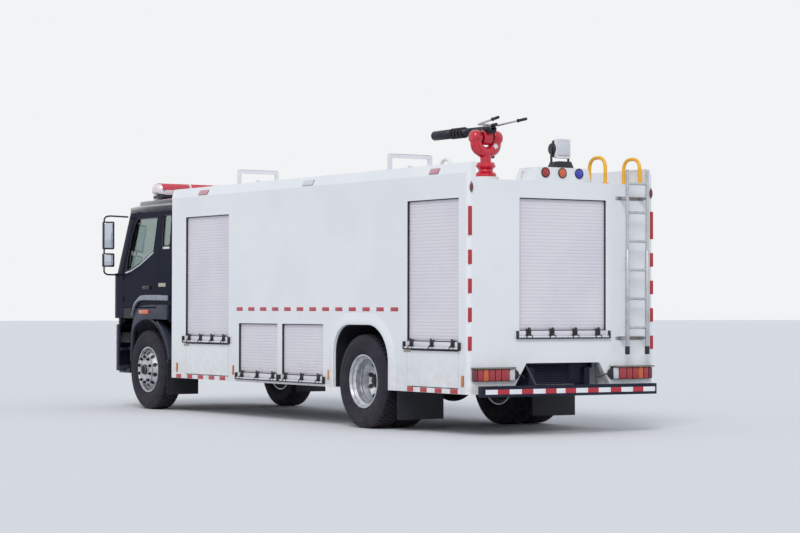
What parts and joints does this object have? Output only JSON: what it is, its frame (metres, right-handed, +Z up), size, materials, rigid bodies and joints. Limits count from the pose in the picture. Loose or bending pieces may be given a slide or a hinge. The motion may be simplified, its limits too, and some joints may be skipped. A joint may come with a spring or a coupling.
{
  "type": "airport fire truck",
  "caption": "Two-axle fire truck with a short black day cab, white body with roller shutters, roof monitor and rear ladder.",
  "frame": {"origin": "on the ground, midway between the bumpers and between the sides", "axes": "+X forwards, +Y to the vehicle's left, +Z up"},
  "size_m": [8.995, 2.88, 3.4417],
  "materials": {
    "white_paint": "gloss",
    "shutter_aluminium": "satin anodised",
    "bar_steel": "satin",
    "cab_paint": "gloss",
    "chassis_paint": "satin",
    "cast_iron": "as cast, painted",
    "tank_metal": "satin",
    "rubber": "matt",
    "tyre": "matt",
    "rim_paint": "silver",
    "monitor_red": "gloss",
    "barrel_black": "satin",
    "hoop_yellow": "gloss",
    "ladder_metal": "satin",
    "lamp_lens": "clear red",
    "light_silver": "polished",
    "glass": "tinted",
    "trim_black": "grained",
    "grey_plastic": "grained",
    "bar_red": "clear red"
  },
  "bodies": {
    "vehicle": {"frame": "chassis_paint", "driveline": "cast_iron", "front_axle": "cast_iron", "rear_axle": "cast_iron", "chassis_tanks": "tank_metal", "body_floor": "chassis_paint", "body_side_left": "white_paint", "body_side_right": "white_paint", "body_ends": "white_paint", "roof_deck": "white_paint", "shutters": "shutter_aluminium", "shutter_bars": "bar_steel", "hatch_neck": "white_paint", "roof_racks": "white_paint", "grab_hoops": "hoop_yellow", "ladder": "ladder_metal", "lamps": "lamp_lens", "monitor_base": "monitor_red", "rear_bumper": "chassis_paint", "mudflaps": "rubber", "cab_floor": "trim_black", "cab_back": "cab_paint", "cab_sides": "cab_paint", "cab_roof": "cab_paint", "cab_front": "cab_paint", "cab_glass": "glass", "cab_interior": "trim_black", "front_bumper": "cab_paint", "fenders": "grey_plastic", "mirrors": "trim_black", "light_bar": "bar_red"},
    "knuckle_left": {"knuckle_left": "cast_iron"},
    "knuckle_right": {"knuckle_right": "cast_iron"},
    "tie_rod": {"tie_rod": "cast_iron"},
    "wheel_front_left": {"tyre_front_left": "tyre", "rim_front_left": "rim_paint"},
    "wheel_front_right": {"tyre_front_right": "tyre", "rim_front_right": "rim_paint"},
    "wheel_rear_left": {"tyre_rear_left": "tyre", "rim_rear_left": "rim_paint"},
    "wheel_rear_right": {"tyre_rear_right": "tyre", "rim_rear_right": "rim_paint"},
    "flap_front_left": {"flap_front_left": "white_paint"},
    "flap_front_right": {"flap_front_right": "white_paint"},
    "flap_rear_left": {"flap_rear_left": "white_paint"},
    "flap_rear_right": {"flap_rear_right": "white_paint"},
    "hatch_lid": {"hatch_lid": "white_paint"},
    "searchlight_yoke": {"searchlight_yoke": "barrel_black"},
    "searchlight_head": {"searchlight_head": "light_silver"},
    "monitor_yoke": {"monitor_yoke": "monitor_red"},
    "monitor_barrel": {"monitor_barrel": "barrel_black"},
    "door_left": {"door_left": "cab_paint", "door_glass_left": "glass"},
    "door_right": {"door_right": "cab_paint", "door_glass_right": "glass"},
    "steering_wheel": {"steering_wheel": "trim_black"}
  },
  "joints": [
    {"name": "steer_left", "type": "hinge", "parent": "vehicle", "child": "knuckle_left", "pos_m": [3.2875, 0.85, 0.522], "axis": [0, 0, 1], "range_deg": [-35, 35]},
    {"name": "steer_right", "type": "hinge", "parent": "vehicle", "child": "knuckle_right", "pos_m": [3.2875, -0.85, 0.522], "axis": [0, 0, 1], "range_deg": [-35, 35]},
    {"name": "tie_rod_pivot", "type": "hinge", "parent": "knuckle_left", "child": "tie_rod", "pos_m": [3.0975, 0.85, 0.422], "axis": [0, 0, 1], "range_deg": [-35, 35]},
    {"name": "spin_front_left", "type": "hinge", "parent": "knuckle_left", "child": "wheel_front_left", "pos_m": [3.2875, 1, 0.522], "axis": [0, 1, 0], "continuous": true},
    {"name": "spin_front_right", "type": "hinge", "parent": "knuckle_right", "child": "wheel_front_right", "pos_m": [3.2875, -1, 0.522], "axis": [0, 1, 0], "continuous": true},
    {"name": "spin_rear_left", "type": "hinge", "parent": "vehicle", "child": "wheel_rear_left", "pos_m": [-2.2625, 1.078, 0.522], "axis": [0, 1, 0], "continuous": true},
    {"name": "spin_rear_right", "type": "hinge", "parent": "vehicle", "child": "wheel_rear_right", "pos_m": [-2.2625, -1.078, 0.522], "axis": [0, 1, 0], "continuous": true},
    {"name": "door_left_hinge", "type": "hinge", "parent": "vehicle", "child": "door_left", "pos_m": [3.9605, 1.17, 1.6], "axis": [0, 0, -1], "range_deg": [0, 70]},
    {"name": "door_right_hinge", "type": "hinge", "parent": "vehicle", "child": "door_right", "pos_m": [3.9605, -1.17, 1.6], "axis": [0, 0, 1], "range_deg": [0, 70]},
    {"name": "flap_front_left_hinge", "type": "hinge", "parent": "vehicle", "child": "flap_front_left", "pos_m": [1.4485, 1.208, 0.51], "axis": [-1, 0, 0], "range_deg": [0, 90]},
    {"name": "flap_front_right_hinge", "type": "hinge", "parent": "vehicle", "child": "flap_front_right", "pos_m": [1.4485, -1.208, 0.51], "axis": [1, 0, 0], "range_deg": [0, 90]},
    {"name": "flap_rear_left_hinge", "type": "hinge", "parent": "vehicle", "child": "flap_rear_left", "pos_m": [-3.6805, 1.208, 0.51], "axis": [-1, 0, 0], "range_deg": [0, 90]},
    {"name": "flap_rear_right_hinge", "type": "hinge", "parent": "vehicle", "child": "flap_rear_right", "pos_m": [-3.6805, -1.208, 0.51], "axis": [1, 0, 0], "range_deg": [0, 90]},
    {"name": "hatch_hinge", "type": "hinge", "parent": "vehicle", "child": "hatch_lid", "pos_m": [-0.7625, 0, 2.772], "axis": [0, 1, 0], "range_deg": [0, 105]},
    {"name": "searchlight_pan", "type": "hinge", "parent": "vehicle", "child": "searchlight_yoke", "pos_m": [-4.1875, -0.09, 3.04], "axis": [0, 0, 1], "range_deg": [-170, 170]},
    {"name": "searchlight_tilt", "type": "hinge", "parent": "searchlight_yoke", "child": "searchlight_head", "pos_m": [-4.1875, -0.09, 3.04], "axis": [0, -1, 0], "range_deg": [-25, 80]},
    {"name": "monitor_turn", "type": "hinge", "parent": "vehicle", "child": "monitor_yoke", "pos_m": [-2.9025, 0, 3.24], "axis": [0, 0, 1], "range_deg": [-170, 170]},
    {"name": "monitor_lift", "type": "hinge", "parent": "monitor_yoke", "child": "monitor_barrel", "pos_m": [-2.9025, 0, 3.24], "axis": [0, -1, 0], "range_deg": [-10, 75]},
    {"name": "steering_wheel_turn", "type": "hinge", "parent": "vehicle", "child": "steering_wheel", "pos_m": [3.7775, 0.56, 1.9], "axis": [-0.5, 0, 0.866], "range_deg": [-525, 525]}
  ],
  "couplings": [
    {"joint": "steer_right", "follows": "steer_left", "ratio": 1},
    {"joint": "tie_rod_pivot", "follows": "steer_left", "ratio": -1},
    {"joint": "steering_wheel_turn", "follows": "steer_left", "ratio": 15}
  ]
}
